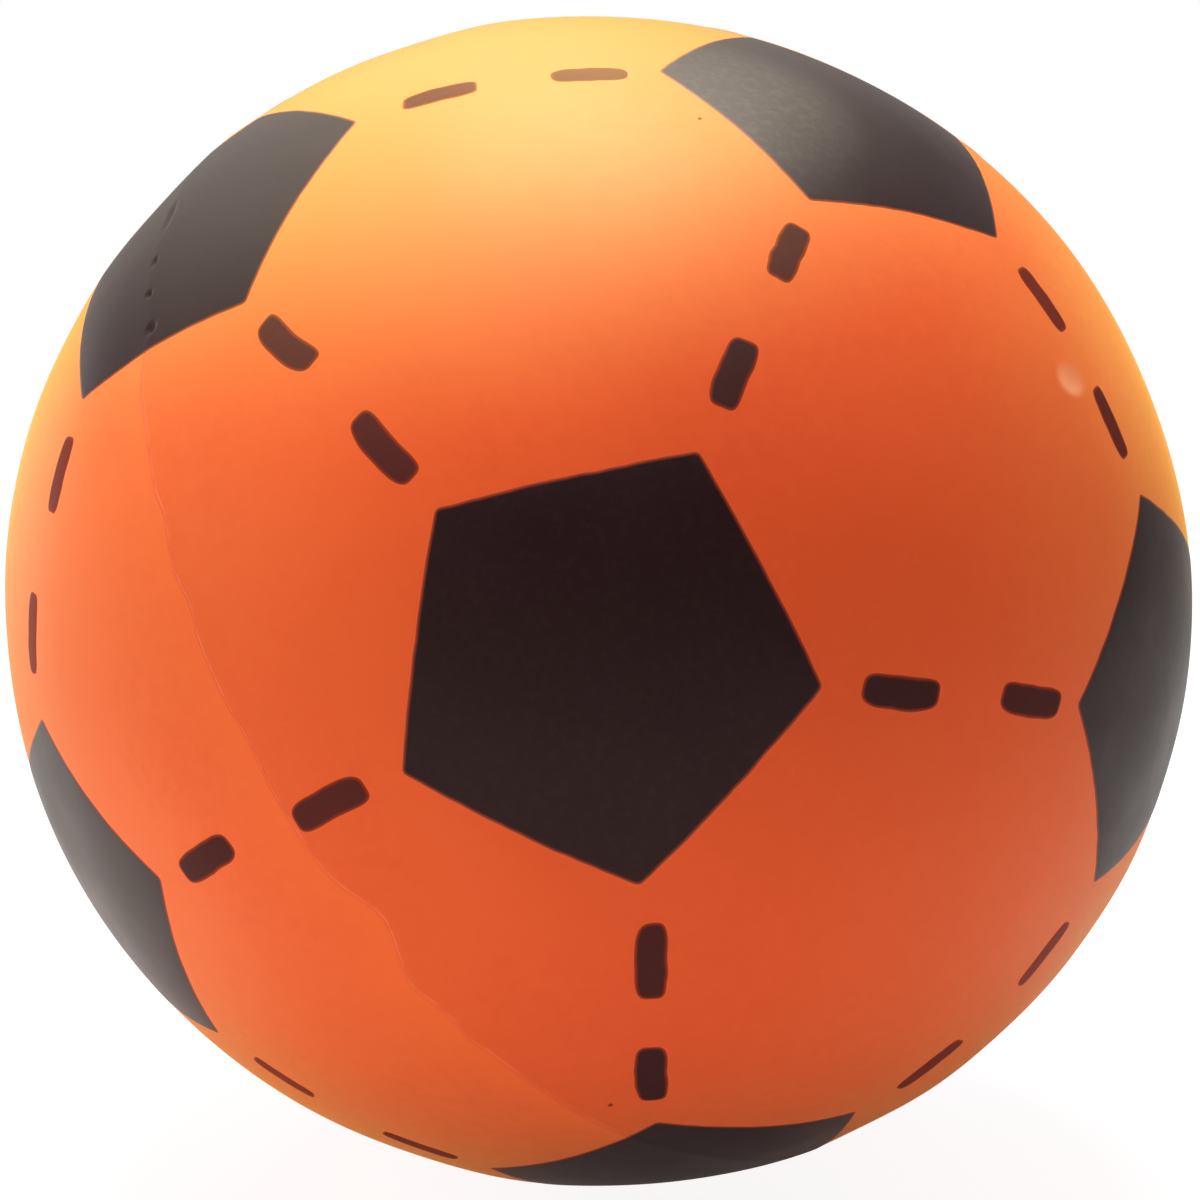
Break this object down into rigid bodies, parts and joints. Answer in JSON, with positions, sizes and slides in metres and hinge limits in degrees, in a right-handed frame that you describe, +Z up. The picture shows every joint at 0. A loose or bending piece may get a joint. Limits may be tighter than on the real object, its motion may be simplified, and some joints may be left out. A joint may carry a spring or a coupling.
{
  "type": "foam soccer ball",
  "caption": "Soft foam soccer ball moulded in halves and glued along a tilted seam, with printed pentagons and dashes, for indoor and garden play.",
  "frame": {"origin": "centre of the ball", "axes": "+Z up as the ball lies in the picture, -Y towards the viewer through the front pentagon, +X to the viewer's right"},
  "size_m": [0.2, 0.2012, 0.2002],
  "materials": {
    "foam": "orange moulded polyurethane foam with a smooth satin skin",
    "ink": "black printed flexible ink, satin, slightly speckled",
    "glue": "pale flexible contact glue"
  },
  "bodies": {
    "root": {"foam_half_right": "foam", "foam_half_left": "foam", "seam_glue": "glue", "pentagon_front": "ink", "pentagon_front_ring_1": "ink", "pentagon_front_ring_2": "ink", "pentagon_front_ring_3": "ink", "pentagon_front_ring_4": "ink", "pentagon_front_ring_5": "ink", "pentagon_back_ring_1": "ink", "pentagon_back_ring_2": "ink", "pentagon_back_ring_3": "ink", "pentagon_back_ring_4": "ink", "pentagon_back_ring_5": "ink", "pentagon_back": "ink", "dash_back_ring_1_to_front_ring_1": "ink", "dash_back_ring_1_to_front_ring_2": "ink", "dash_back_ring_2_to_front_ring_2": "ink", "dash_back_ring_2_to_front_ring_3": "ink", "dash_back_ring_3_to_front_ring_3": "ink", "dash_back_ring_3_to_front_ring_4": "ink", "dash_back_ring_4_to_front_ring_4": "ink", "dash_back_ring_4_to_front_ring_5": "ink", "dash_back_ring_5_to_front_ring_1": "ink", "dash_back_ring_5_to_front_ring_5": "ink", "dash_front_ring_1_to_back_ring_1": "ink", "dash_front_ring_1_to_back_ring_5": "ink", "dash_front_ring_1_to_front": "ink", "dash_front_ring_1_to_front_ring_2": "ink", "dash_front_ring_1_to_front_ring_5": "ink", "dash_front_ring_2_to_back_ring_1": "ink", "dash_front_ring_2_to_back_ring_2": "ink", "dash_front_ring_2_to_front": "ink", "dash_front_ring_2_to_front_ring_1": "ink", "dash_front_ring_2_to_front_ring_3": "ink", "dash_front_ring_3_to_back_ring_2": "ink", "dash_front_ring_3_to_back_ring_3": "ink", "dash_front_ring_3_to_front": "ink", "dash_front_ring_3_to_front_ring_2": "ink", "dash_front_ring_3_to_front_ring_4": "ink", "dash_front_ring_4_to_back_ring_3": "ink", "dash_front_ring_4_to_back_ring_4": "ink", "dash_front_ring_4_to_front": "ink", "dash_front_ring_4_to_front_ring_3": "ink", "dash_front_ring_4_to_front_ring_5": "ink", "dash_front_ring_5_to_back_ring_4": "ink", "dash_front_ring_5_to_back_ring_5": "ink", "dash_front_ring_5_to_front": "ink", "dash_front_ring_5_to_front_ring_1": "ink", "dash_front_ring_5_to_front_ring_4": "ink", "dash_front_to_front_ring_1": "ink", "dash_front_to_front_ring_2": "ink", "dash_front_to_front_ring_3": "ink", "dash_front_to_front_ring_4": "ink", "dash_front_to_front_ring_5": "ink"}
  },
  "joints": []
}
